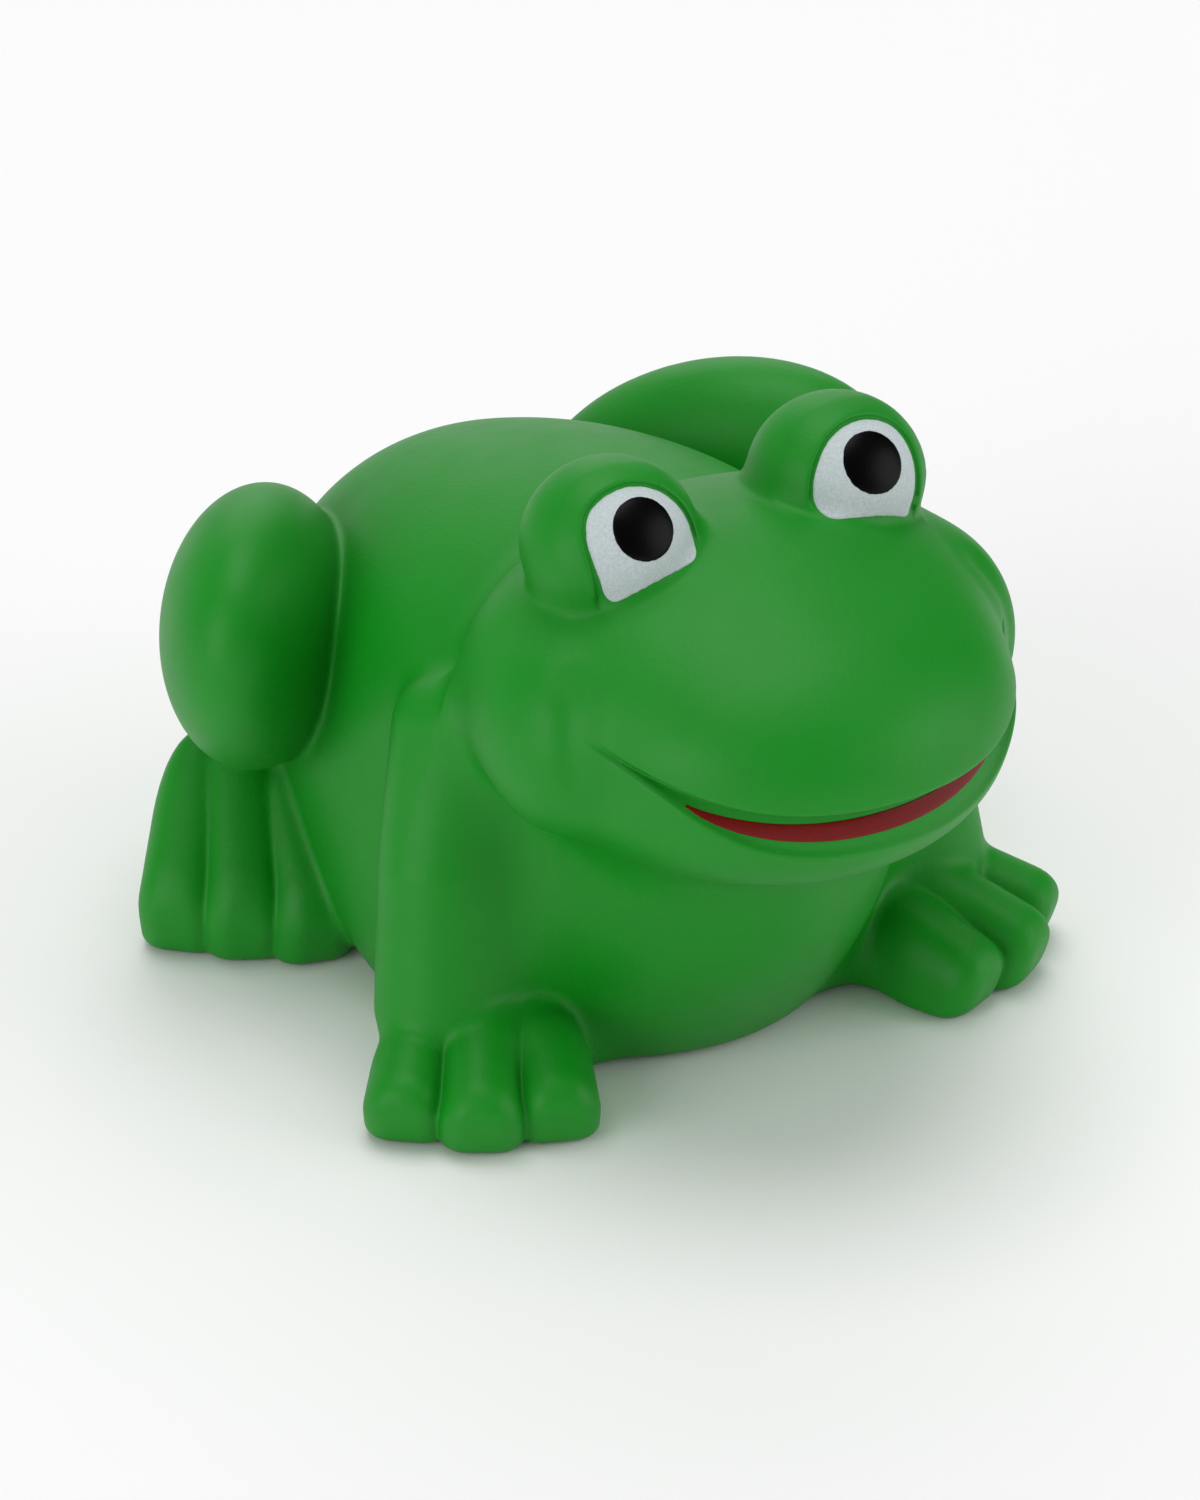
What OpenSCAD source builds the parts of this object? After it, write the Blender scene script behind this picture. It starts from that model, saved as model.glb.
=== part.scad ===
// Squeezable foam frog: a moulded foam core in a green skin, with painted eyes and mouth.
// The frog faces -Y and sits flat on Z = 0. Its box is centred on the origin. Sizes are in mm.

/* [Torso] */
// Width of the torso
torso_w = 49.4; // [44:0.2:54]
// Length of the torso
torso_l = 58.4; // [52:0.2:64]
// Height of the torso
torso_h = 45.2; // [41:0.2:50]
// Distance of the torso's middle behind the sculpting line
torso_y = 10.5; // [8:0.5:13]
// Height of the torso's middle
torso_z = 21.2; // [19:0.2:24]
// Angle by which the rump is lower than the chest
torso_pitch = 2; // [-4:1:8]

/* [Shoulders] */
// Width of the rounded shoulders
shoulder_w = 45; // [38:0.5:48]
// Length of the shoulders
shoulder_l = 42; // [36:0.5:48]
// Height of the shoulders
shoulder_h = 25.6; // [23:0.2:29]
// Distance of the shoulders behind the sculpting line
shoulder_y = 1; // [-2:0.5:4]
// Height of the shoulders' middle
shoulder_z = 32.2; // [31:0.2:34]

/* [Belly] */
// Width of the belly
belly_w = 46; // [40:0.5:50]
// Length of the belly
belly_l = 48.4; // [42:0.2:52]
// Height of the belly
belly_h = 36; // [32:0.5:40]
// Distance of the belly behind the sculpting line
belly_y = 3; // [0:0.5:6]
// Height of the belly's middle
belly_z = 9; // [7:0.5:12]

/* [Head] */
// Width of the head behind the cheeks
head_w = 50; // [46:0.5:54]
// Length of the head
head_l = 35; // [32:0.5:38]
// Height of the head
head_h = 27; // [25:0.5:29]
// Distance of the head in front of the sculpting line
head_y = 17; // [15:0.5:19]
// Height of the head's middle
head_z = 38; // [37:0.5:39]
// Width of the muzzle
muzzle_w = 38.2; // [34:0.2:42]
// Length of the muzzle
muzzle_l = 34; // [31:0.5:37]
// Height of the muzzle
muzzle_h = 21; // [19:0.5:23]
// Distance of the muzzle in front of the sculpting line
muzzle_y = 27.5; // [26:0.5:29]
// Height of the muzzle's middle
muzzle_z = 38.6; // [37.6:0.2:39.6]
// Angle by which the muzzle droops
muzzle_pitch = 8; // [4:1:12]
// Width of the lower jaw
jaw_w = 37; // [34:0.5:40]
// Length of the lower jaw
jaw_l = 34; // [31:0.5:36]
// Height of the lower jaw
jaw_h = 17; // [15:0.5:19]
// Distance of the lower jaw in front of the sculpting line
jaw_y = 25; // [24:0.5:26]
// Height of the lower jaw's middle
jaw_z = 32.5; // [31.5:0.5:33.5]
// Width of a cheek
cheek_w = 11.4; // [10:0.2:13]
// Length of a cheek
cheek_l = 15; // [13:0.5:17]
// Height of a cheek
cheek_h = 16; // [14:0.5:18]
// Distance of a cheek's middle from the midline
cheek_x = 19.6; // [18.6:0.2:20.6]
// Distance of the cheeks in front of the sculpting line
cheek_y = 21; // [20:0.5:22]
// Height of the cheeks' middle
cheek_z = 36.5; // [35.5:0.5:37.5]

/* [Mouth] */
// Height of the upper lip's edge on the midline
lip_z = 36; // [35:0.2:37]
// Distance between the corners of the mouth
smile_w = 42; // [36:0.5:44]
// How far the corners rise above the middle of the lip
smile_rise = 4.2; // [2:0.2:6]
// Height of the groove under the upper lip, on the midline
mouth_h = 4.2; // [3.4:0.1:5]
// Depth of the groove under the upper lip
mouth_depth = 1.5; // [1:0.1:2]
// Width of the red band
red_w = 33; // [26:0.5:35]
// Height of the red band on the midline
red_h = 1.8; // [1.2:0.1:2]
// Drop from the upper lip's edge to the red band
red_drop = 1.2; // [0.8:0.1:1.4]

/* [Eyes] */
// Width of the hood over an eye
hood_w = 15.4; // [14:0.2:16.4]
// Length of the hood
hood_l = 15.2; // [14:0.2:16.4]
// Height of the hood
hood_h = 14.6; // [13.4:0.2:15.8]
// Distance of a hood from the midline
hood_x = 11.1; // [10.5:0.1:11.7]
// Distance of the hoods in front of the sculpting line
hood_y = 17; // [16:0.2:18]
// Height of the hoods' middle
hood_z = 51; // [50:0.2:52]
// Depth of the eye below the hood's rim
eye_recess = 0.7; // [0.5:0.1:1]
// Angle by which the eye looks up
eye_tilt = 34; // [28:1:40]
// Angle by which the eye looks outwards
eye_splay = 11; // [6:1:16]
// Diameter of the opening in the hood
eye_d = 11.2; // [10:0.2:12]
// Distance of that opening from the eye's axis, towards the midline
eye_in = 1; // [0.6:0.1:1.4]
// Drop from the eye's axis to the middle of that opening
eye_drop = 1.3; // [1:0.1:1.8]
// Drop from the eye's axis to the lower lid
lid_drop = 3.8; // [3.4:0.1:4.4]
// Slope of the lower lid, down towards the cheek
lid_slope = 17; // [8:1:24]
// Diameter of the pupil
pupil_d = 5.3; // [4:0.1:6]
// Distance of the pupil from the eye's axis, towards the midline
pupil_in = 0.9; // [0.5:0.1:1.3]

/* [Front legs] */
// Distance of the upper arm from the midline
arm_x = 21.2; // [20.2:0.2:22.2]
// Distance of the upper arm in front of the sculpting line
arm_y = 6.5; // [5.5:0.5:7.5]
// Height of the top of the arm's axis
arm_z = 30; // [28:0.5:32]
// Diameter of the arm at the shoulder
arm_d = 8; // [7:0.2:9]
// Distance of the elbow from the midline
elbow_x = 24; // [23:0.2:25]
// Distance of the elbow in front of the sculpting line
elbow_y = 9; // [8:0.5:10]
// Height of the elbow
elbow_z = 20; // [18:0.5:22]
// Diameter of the arm at the elbow
elbow_d = 10; // [9:0.2:11]
// Distance of the wrist from the midline
wrist_x = 24.3; // [23.3:0.2:25.3]
// Distance of the wrist in front of the sculpting line
wrist_y = 11; // [10:0.5:12]
// Height of the wrist
wrist_z = 8; // [7:0.5:9]
// Diameter of the arm at the wrist
wrist_d = 11.4; // [10:0.2:12.4]
// Distance of the sole from the midline
sole_x = 21; // [20:0.5:22]
// Distance of the sole in front of the sculpting line
sole_y = 15; // [14:0.5:16]
// Thickness of the sole
sole_d = 9; // [8:0.2:10]
// Distance of the front toe tips from the midline
front_toe_x = 27.2; // [26.2:0.2:28.2]
// Distance of the front toe tips in front of the sculpting line
front_toe_y = 22.6; // [21.6:0.2:23.6]
// Angle by which the front foot points outwards
front_heading = 32; // [26:1:38]
// Distance between neighbouring front toe tips
front_spread = 6.8; // [6:0.1:7.4]
// How far the middle front toe leads the others
front_lead = 1.8; // [0.4:0.2:2.4]
// Distance from the front toe tips back to the knuckles
front_toe_l = 9; // [8:0.5:10]
// Distance between neighbouring front knuckles
front_knuckle = 5.4; // [4.8:0.1:6]
// Height of the middle front knuckle
front_knuckle_z = 12.5; // [11.5:0.5:13.5]
// How much lower the outer front knuckles are
front_fall = 2.5; // [1.5:0.5:3.5]
// Height of the front toe tips
front_tip_h = 6.2; // [5.6:0.2:7]
// Width of a front toe
front_toe_w = 7.6; // [7:0.2:8]

/* [Hind legs] */
// Width of the folded thigh
thigh_w = 17; // [15:0.5:19]
// Length of the thigh
thigh_l = 35; // [32:0.5:38]
// Height of the thigh
thigh_h = 24.4; // [22:0.4:27]
// Distance of the thigh from the midline
thigh_x = 22.5; // [21:0.5:24]
// Distance of the thigh behind the sculpting line
thigh_y = 20.5; // [18.5:0.5:22.5]
// Height of the thigh's middle
thigh_z = 29.4; // [27.4:0.2:31.4]
// Angle by which the knee is higher than the hip
thigh_pitch = 24; // [16:1:30]
// Angle by which the thigh leans outwards
thigh_roll = 13; // [6:1:20]
// Angle by which the knee points outwards
thigh_yaw = 32; // [24:1:40]
// Distance of the hind toe tips from the midline
hind_toe_x = 28.5; // [27.5:0.2:29.5]
// Distance of the hind toe tips behind the sculpting line
hind_toe_y = 14.6; // [13.6:0.2:15.6]
// Angle by which the hind foot points outwards
hind_heading = 40; // [34:1:46]
// Distance between neighbouring hind toe tips
hind_spread = 6.6; // [6:0.1:7.4]
// How far the middle hind toe leads the others
hind_lead = 0.6; // [0.2:0.2:1.6]
// Distance from the hind toe tips back to the ankle
hind_toe_l = 12.5; // [11.5:0.5:13.5]
// Distance between the toes at the ankle
hind_knuckle = 3.4; // [3:0.1:4]
// Distance by which the ankle stands out from the line of the foot
hind_out = 2.4; // [1.4:0.2:3.4]
// Height of the ankle under the thigh
hind_knuckle_z = 21.3; // [20.3:0.2:22.3]
// How much lower the outer toes are at the ankle
hind_fall = 1.5; // [0.5:0.5:2.5]
// Height of the hind toe tips
hind_tip_h = 7; // [6.4:0.2:7.6]
// Width of a hind toe
hind_toe_w = 7.6; // [7:0.2:8]

/* [Toes] */
// Rounding of the blunt toes
toe_round = 2.4; // [2:0.1:2.8]
// How far the blunt end of a toe draws back to the ground
toe_under = 1.4; // [0.6:0.2:2]

/* [Skin and paint] */
// Thickness of the green skin
skin_t = 1; // [0.8:0.1:1.2]
// Diameter of the trimmed spot in the base where the foam was poured
pour_d = 12; // [8:0.5:16]
// Thickness of the sprayed white and the red
paint_t = 0.3; // [0.2:0.05:0.4]
// Thickness of the printed pupil
pupil_t = 0.2; // [0.15:0.05:0.3]
// Bare border between the white and the hood's rim
paint_gap = 0.2; // [0.1:0.05:0.4]

/* [Blends] */
// Width over which the torso, the shoulders and the belly flow together
trunk_blend = 7; // [4:0.5:10]
// Width over which the head, the muzzle and the jaw flow together
face_blend = 5; // [3:0.5:7]
// Width over which the cheeks flow into the head
cheek_blend = 2.5; // [1.5:0.5:4]
// Width over which the head flows into the neck
neck_blend = 6; // [4:0.5:8]

/* [Facets] */
// Points round the trunk and the head on the outside
skin_points = 40; // [36:4:44]
// Sides of a toe on the outside
skin_sides = 12; // [12:4:16]
// Points round the trunk and the head on the hidden face between foam and skin
core_points = 32; // [28:4:36]
// Sides of a toe on that hidden face
core_sides = 6; // [6:2:12]
// Sides of the eye openings, the pupils and the pour spot
round_sides = 48; // [32:4:64]

/* [Hidden] */

// Depth by which the rounding under a foot is sunk, which leaves it a little flat underneath
toe_flat = 0.2;

// Half-length along Y of an ellipsoid that is pitched about X
function reach(l, h, pitch) = norm([l * cos(pitch), h * sin(pitch)]) / 2;
nose_y = -muzzle_y - reach(muzzle_l, muzzle_h, muzzle_pitch);
rump_y = torso_y + reach(torso_l, torso_h, torso_pitch);
middle_y = (nose_y + rump_y) / 2;

// Left side of the frog is +X
LEFT = 1;
RIGHT = -1;

// Counts of facets, which the hidden face between foam and skin sets lower
$points = skin_points;
$sides = skin_sides;

// Reach of a cutting block that clears the whole figure
clear = 2 * (torso_l + muzzle_l);

// Stations along the smile from corner to corner
smile_steps = 10;

// Rounded forms of the trunk and the head, each as its middle, its half sizes and its pitch about X
TORSO = [[0, torso_y, torso_z], [torso_w, torso_l, torso_h] / 2, -torso_pitch];
SHOULDERS = [[0, shoulder_y, shoulder_z], [shoulder_w, shoulder_l, shoulder_h] / 2, 0];
BELLY = [[0, belly_y, belly_z], [belly_w, belly_l, belly_h] / 2, 0];
HEAD = [[0, -head_y, head_z], [head_w, head_l, head_h] / 2, 0];
MUZZLE = [[0, -muzzle_y, muzzle_z], [muzzle_w, muzzle_l, muzzle_h] / 2, muzzle_pitch];
JAW = [[0, -jaw_y, jaw_z], [jaw_w, jaw_l, jaw_h] / 2, 0];
CHEEK = [[cheek_x, -cheek_y, cheek_z], [cheek_w, cheek_l, cheek_h] / 2, 0];

// Point as the form sees it, in its own turned axes
function in_form(p, form) =
    let (d = p - form[0], c = cos(form[2]), s = sin(form[2]))
    [d.x, c * d.y + s * d.z, c * d.z - s * d.y];

// Distance of a point outside a form, less than 0 inside it
function off(p, form) =
    let (q = in_form(p, form), h = form[1])
    let (k = norm([q.x / h.x, q.y / h.y, q.z / h.z]))
    k * (k - 1) / norm([q.x / h.x / h.x, q.y / h.y / h.y, q.z / h.z / h.z]);

// Joins two distances with a fillet over a width
function melt(a, b, width) = min(a, b) - pow(max(0, width - abs(a - b)), 2) / (4 * width);

function off_trunk(p) = melt(melt(off(p, TORSO), off(p, SHOULDERS), trunk_blend), off(p, BELLY), trunk_blend);
function off_skull(p) = melt(melt(off(p, HEAD), off(p, MUZZLE), face_blend), off(p, JAW), face_blend);
function off_face(p) = melt(off_skull(p), off([abs(p.x), p.y, p.z], CHEEK), cheek_blend);
function off_sculpt(p) = melt(off_trunk(p), off_face(p), neck_blend);

// Point in the chest from which the whole sculpted surface can be seen
heart = (HEAD[0] + SHOULDERS[0] + TORSO[0]) / 3;
far = norm([torso_w, torso_l + muzzle_l, torso_h]);
cast_steps = 15;

// Length of a ray from the heart to the surface that lies inset inside the sculpt
function cast(ray, inset, low, high, steps) =
    steps == 0 ? (low + high) / 2 :
    let (middle = (low + high) / 2)
    off_sculpt(heart + middle * ray) < -inset
        ? cast(ray, inset, middle, high, steps - 1)
        : cast(ray, inset, low, middle, steps - 1);

// Trunk and head as one blended form, drawn in by inset all round
module sculpt(inset) {
    n = 4 * round($points / 4);
    rings = n / 2;
    function ray(i, j) =
        let (down = 180 * i / rings, turn = 360 * j / n)
        [sin(down) * cos(turn), sin(down) * sin(turn), cos(down)];
    function point(i, j) = heart + cast(ray(i, j), inset, 0, far, cast_steps) * ray(i, j);
    points = [point(0, 0), for (i = [1 : rings - 1], j = [0 : n - 1]) point(i, j), point(rings, 0)];
    function at(i, j) = 1 + (i - 1) * n + j % n;
    last = len(points) - 1;
    caps = [for (j = [0 : n - 1])
        each [[0, at(1, j + 1), at(1, j)], [last, at(rings - 1, j), at(rings - 1, j + 1)]]];
    // Each patch is split so that the left half mirrors the right
    bands = [for (i = [1 : rings - 2], j = [0 : n - 1])
        let (a = at(i, j), b = at(i, j + 1), c = at(i + 1, j + 1), d = at(i + 1, j))
        each j < n / 4 || j >= 3 * n / 4 ? [[a, b, d], [b, c, d]] : [[a, b, c], [a, c, d]]];
    polyhedron(points, concat(caps, bands));
}

// Ellipsoid of full sizes w, l and h, drawn in by inset all round
module blob(w, l, h, inset) {
    resize([w - 2 * inset, l - 2 * inset, h - 2 * inset]) sphere(d = h, $fn = 2 * $sides);
}

// Rounded limb from a point to a point
module limb(from, from_d, to, to_d, inset) {
    hull() {
        translate(from) sphere(d = from_d - 2 * inset, $fn = $sides);
        translate(to) sphere(d = to_d - 2 * inset, $fn = $sides);
    }
}

module both_sides() {
    children();
    mirror([1, 0, 0]) children();
}

// Crescent that follows the smile, seen from the front and deep enough to cross the face.
// It starts drop below the lip's edge, is h high on the midline and closes at its ends.
module smile_band(w, h, drop, grow) {
    function lip(x) = lip_z + smile_rise * pow(2 * x / smile_w, 2);
    function height(x) = h * sqrt(max(0, 1 - pow(2 * x / w, 2)));
    // Each station is a thin post, and the band is drawn from post to post
    post = 0.01;
    for (i = [0 : smile_steps - 1])
        hull() for (k = [i, i + 1]) {
            x = -w / 2 * cos(180 * k / smile_steps);
            tall = height(x) + post;
            translate([x - post / 2 - grow, -clear, lip(x) - drop - tall - grow])
                cube([post + 2 * grow, clear - head_y, tall + 2 * grow]);
        }
}

// Trunk and head with the groove under the upper lip
module trunk_and_head(inset) {
    difference() {
        sculpt(inset);
        smile_band(smile_w, mouth_h, 0, inset);
    }
    sculpt(inset + mouth_depth);
}

// Stands its children on the eye's axis: Z is along the look, Y is up and X is towards the cheek
module on_eye() {
    translate([hood_x, -hood_y, hood_z]) rotate([90 - eye_tilt, 0, eye_splay]) children();
}

// Opening in the hood: a round that the lower lid cuts off, drawn in or grown all round
module eye_opening(grow) {
    translate([-eye_in, 0, 0]) linear_extrude(hood_l) intersection() {
        translate([0, -eye_drop]) circle(d = eye_d + 2 * grow, $fn = round_sides);
        rotate(-lid_slope) translate([-eye_d, -lid_drop - grow]) square(2 * eye_d);
    }
}

module hood(inset) {
    difference() {
        hood_form(inset);
        on_eye() eye_opening(inset);
    }
    hood_form(inset + eye_recess);
}

module hood_form(inset) {
    translate([hood_x, -hood_y, hood_z]) blob(hood_w, hood_l, hood_h, inset);
}

// Three blunt toes that fan out from the knuckles, with the tips' middle at the origin and pointing along -Y
module toes(spread, lead, tip_h, toe_l, knuckle, knuckle_z, fall, out, toe_w, inset) {
    half = toe_w / 2 - toe_round;
    low = toe_round - toe_flat;
    for (i = [-1 : 1]) hull() for (side = [-1, 1]) {
        tip = [i * spread + side * half, toe_round - (i == 0 ? lead : 0), 0];
        root = [i * knuckle + out + side * half, toe_l, 0];
        corners = [
            tip + [0, 0, tip_h - toe_round],
            tip + [0, toe_under, low],
            root + [0, 0, knuckle_z - abs(i) * fall - toe_round],
            root + [0, 0, low]
        ];
        for (corner = corners) translate(corner) sphere(r = toe_round - inset, $fn = $sides);
    }
}

// The arm runs from the shoulder to the sole, and each stretch grows out of the flank behind it
module front_leg(inset) {
    joints = [[arm_x, -arm_y, arm_z], [elbow_x, -elbow_y, elbow_z], [wrist_x, -wrist_y, wrist_z],
        [sole_x, -sole_y, sole_d / 2 - toe_flat]];
    widths = [arm_d, elbow_d, wrist_d, sole_d];
    inwards = [-elbow_d, elbow_d / 2, 0];
    for (i = [0 : len(joints) - 2]) hull() {
        limb(joints[i], widths[i], joints[i + 1], widths[i + 1], inset);
        limb(joints[i] + inwards, arm_d, joints[i + 1] + inwards, arm_d, inset);
    }
    translate([front_toe_x, -front_toe_y, 0]) rotate(front_heading)
        toes(front_spread, front_lead, front_tip_h, front_toe_l, front_knuckle, front_knuckle_z,
            front_fall, 0, front_toe_w, inset);
}

module hind_leg(inset) {
    translate([thigh_x, thigh_y, thigh_z]) rotate([-thigh_pitch, 0, thigh_yaw]) rotate([0, thigh_roll, 0])
        blob(thigh_w, thigh_l, thigh_h, inset);
    translate([hind_toe_x, hind_toe_y, 0]) rotate(hind_heading)
        toes(hind_spread, hind_lead, hind_tip_h, hind_toe_l, hind_knuckle, hind_knuckle_z,
            hind_fall, hind_out, hind_toe_w, inset);
}

// Whole sculpted figure, drawn in by inset all round and cut flat at the base
module figure(inset) {
    translate([0, -middle_y, 0]) difference() {
        union() {
            trunk_and_head(inset);
            both_sides() {
                hood(inset);
                front_leg(inset);
                hind_leg(inset);
            }
        }
        translate([-clear, -clear, inset - clear]) cube([2 * clear, 2 * clear, clear]);
    }
}

// Spot in the base where the pour was trimmed
module pour_spot() {
    cylinder(d = pour_d, h = 2 * skin_t, $fn = round_sides);
}

module foam_core() {
    color("wheat") {
        figure(skin_t, $points = core_points, $sides = core_sides);
        pour_spot();
    }
}

module green_skin() {
    color("forestgreen") difference() {
        figure(0);
        figure(skin_t, $points = core_points, $sides = core_sides);
        translate([0, 0, -skin_t]) pour_spot();
    }
}

// Layer of paint over the eye, from height low to height high above it, inside an outline
module eye_layer(side, low, high) {
    mirror([side == LEFT ? 0 : 1, 0, 0]) translate([0, -middle_y, 0]) difference() {
        intersection() {
            hood_form(eye_recess - high);
            on_eye() children();
        }
        hood_form(eye_recess - low);
    }
}

module eye_white(side) {
    color("gainsboro") eye_layer(side, 0, paint_t) eye_opening(-paint_gap);
}

module pupil(side) {
    color("black") eye_layer(side, paint_t, paint_t + pupil_t)
        translate([-pupil_in, 0, 0]) cylinder(d = pupil_d, h = hood_l, $fn = round_sides);
}

module red_mouth() {
    color("darkred") translate([0, -middle_y, 0]) difference() {
        intersection() {
            sculpt(mouth_depth - paint_t);
            smile_band(red_w, red_h, red_drop, 0);
        }
        sculpt(mouth_depth);
    }
}

foam_core();
green_skin();
eye_white(LEFT);  // left_eye_white
eye_white(RIGHT);  // right_eye_white
pupil(LEFT);  // left_pupil
pupil(RIGHT);  // right_pupil
red_mouth();
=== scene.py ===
"""Foam stress frog: a squeezable moulded figure with painted eyes and mouth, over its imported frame."""

import math

import bpy
import numpy as np
from mathutils import Euler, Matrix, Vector


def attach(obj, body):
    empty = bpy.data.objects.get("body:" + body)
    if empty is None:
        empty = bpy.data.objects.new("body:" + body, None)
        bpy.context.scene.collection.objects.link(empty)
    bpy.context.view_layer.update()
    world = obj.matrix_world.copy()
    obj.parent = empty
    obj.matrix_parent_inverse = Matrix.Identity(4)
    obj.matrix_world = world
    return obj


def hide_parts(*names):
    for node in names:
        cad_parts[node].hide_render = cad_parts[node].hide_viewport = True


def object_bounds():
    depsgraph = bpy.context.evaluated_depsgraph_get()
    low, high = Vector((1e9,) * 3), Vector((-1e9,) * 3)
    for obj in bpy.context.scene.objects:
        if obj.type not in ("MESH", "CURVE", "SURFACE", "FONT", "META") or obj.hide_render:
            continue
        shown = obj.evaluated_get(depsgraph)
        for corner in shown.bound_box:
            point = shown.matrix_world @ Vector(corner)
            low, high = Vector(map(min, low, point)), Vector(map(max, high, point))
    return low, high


bl_info = {
    "name": "Foam stress frog",
    "version": (1, 0, 0),
    "blender": (4, 5, 0),
    "location": "View3D > Sidebar > Frog",
    "description": "Builds a squeezable moulded foam frog with painted eyes and mouth",
    "category": "Add Mesh",
}

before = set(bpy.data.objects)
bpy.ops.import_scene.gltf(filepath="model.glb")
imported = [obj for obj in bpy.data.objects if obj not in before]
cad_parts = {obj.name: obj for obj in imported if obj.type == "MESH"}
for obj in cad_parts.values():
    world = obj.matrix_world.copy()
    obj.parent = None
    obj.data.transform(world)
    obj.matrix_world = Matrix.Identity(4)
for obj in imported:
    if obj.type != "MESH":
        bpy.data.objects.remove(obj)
CAD_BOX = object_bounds()

MM = 0.001
LEFT = 1
RIGHT = -1
SIDES = ((LEFT, "left"), (RIGHT, "right"))
TINY = 1e-12

# Grid on which the skin is cast outside and inside, and the shortest edge where it bends sharply
SKIN_STEP = 0.7 * MM
LINING_STEP = 1.6 * MM
FINEST = 0.13 * MM
SHARP_BEND = math.radians(13)

# Rings of the trimmed pour spot, from its wall to its middle: share of its radius, and height
SPOT_RINGS = (
    (1, 0.2 * MM),
    (0.985, 0.08 * MM),
    (0.8, 0.1 * MM),
    (0.6, 0.06 * MM),
    (0.4, 0.1 * MM),
    (0.2, 0.07 * MM),
)
SPOT_MIDDLE = 0.08 * MM
# Share of the radius inside which the cut foam is torn, and how deeply
SPOT_EDGE = 0.9
SPOT_TEAR = 0.03 * MM

# What toe_ends takes for a foot, as the ends of the names of the foot's values
FOOT_VALUES = ("toes", "heading", "spread", "lead", "toe_l", "knuckle", "knuckle_z", "fall", "out")

# Width of the camera's sensor in millimetres
SENSOR_W = 36
# Name, place and aim in metres, diameter in metres and power in watts of each soft box
SOFT_BOXES = (
    ("overhead", (0.0, 0.1, 1.0), (0, 0, 0), 0.8, 4.3),
    ("left_side", (-1.0, -0.25, 0.35), (0, 0, 0.02), 0.9, 4.5),
    ("right_side", (0.8, -0.7, 0.35), (0, 0, 0.02), 0.9, 4.0),
    ("backdrop", (0.5, 0.9, 0.6), (0, 0, 0.02), 1.0, 2.5),
)


def linear(code):
    """Linear colour of an sRGB hex value."""
    shares = [int(code[i : i + 2], 16) / 255 for i in (1, 3, 5)]
    return tuple(s / 12.92 if s <= 0.04045 else ((s + 0.055) / 1.055) ** 2.4 for s in shares)


def length(name, mm, about):
    """Panel value for one size in millimetres."""
    return bpy.props.FloatProperty(
        name=name, description=about, default=mm * MM, unit="LENGTH", precision=5
    )


def lengths(name, mm, about, subtype):
    """Panel value for three lengths in millimetres."""
    start = [v * MM for v in mm]
    return bpy.props.FloatVectorProperty(
        name=name, description=about, default=start, subtype=subtype, unit="LENGTH", precision=5
    )


def sizes(name, mm, form):
    """Panel value for the full sizes of a form in millimetres."""
    return lengths(name, mm, f"Width, length and height of {form}", "XYZ_LENGTH")


def place(name, mm, about):
    """Panel value for a point in millimetres."""
    return lengths(name, mm, about, "TRANSLATION")


def angle(name, degrees, about):
    """Panel value for an angle."""
    return bpy.props.FloatProperty(
        name=name, description=about, default=math.radians(degrees), subtype="ANGLE", unit="ROTATION"
    )


def colour(name, code, about):
    """Panel value for a colour, from its sRGB hex value."""
    return bpy.props.FloatVectorProperty(
        name=name, description=about, default=linear(code), subtype="COLOR", min=0, max=1
    )


def share(name, value, about):
    """Panel value from 0 to 1."""
    return bpy.props.FloatProperty(
        name=name, description=about, default=value, min=0, max=1, subtype="FACTOR"
    )


def power(name, value, about):
    """Panel value for the power that bends a curve."""
    return bpy.props.FloatProperty(name=name, description=about, default=value)


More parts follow.
